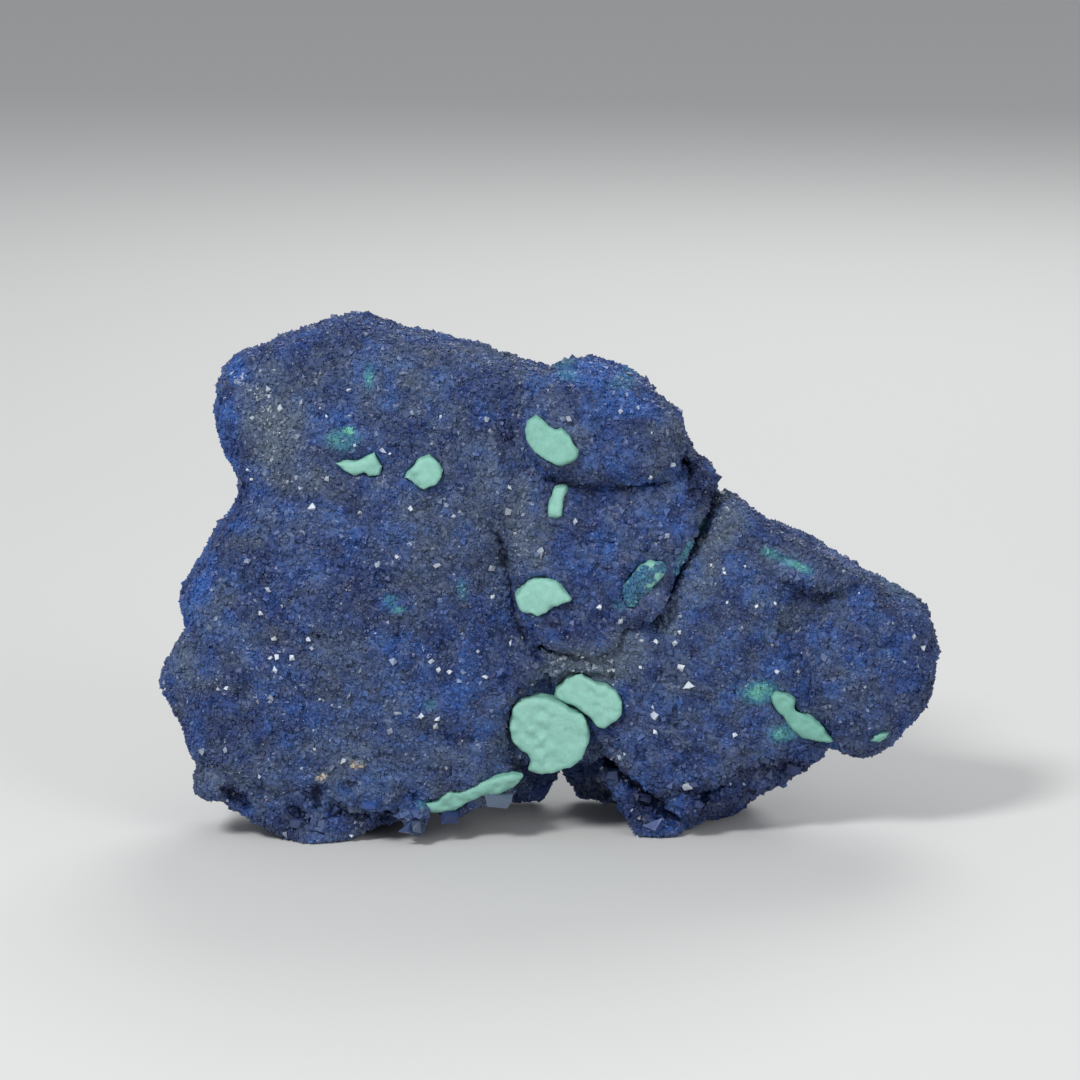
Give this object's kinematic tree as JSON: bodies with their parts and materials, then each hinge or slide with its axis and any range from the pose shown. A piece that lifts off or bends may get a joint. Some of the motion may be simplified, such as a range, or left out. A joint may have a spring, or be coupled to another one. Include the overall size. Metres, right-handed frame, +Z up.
{
  "type": "azurite specimen",
  "caption": "Deep blue druse of intergrown azurite lobes that stands on its own feet over a small arch, with pale green malachite growths on its front.",
  "frame": {"origin": "on the resting plane, under the middle of the bounding box", "axes": "+X to the viewer's right along the specimen's long way, +Y away from the face with the malachite growths, +Z up"},
  "size_m": [0.0484, 0.0145, 0.0318],
  "materials": {
    "azurite": "rough crystalline crust of fine sparkling blue crystals",
    "malachite": "matt, pale green, finely fibrous"
  },
  "bodies": {
    "root": {"azurite": "azurite", "malachite_knob_spot": "malachite", "malachite_upper_spot": "malachite", "malachite_upper_crescent": "malachite", "malachite_crease_bar": "malachite", "malachite_wedge_spot": "malachite", "malachite_arch_disc_small": "malachite", "malachite_arch_disc_large": "malachite", "malachite_arch_streak": "malachite", "malachite_wedge_crust": "malachite", "malachite_right_bow": "malachite", "malachite_right_fleck": "malachite"}
  },
  "joints": []
}
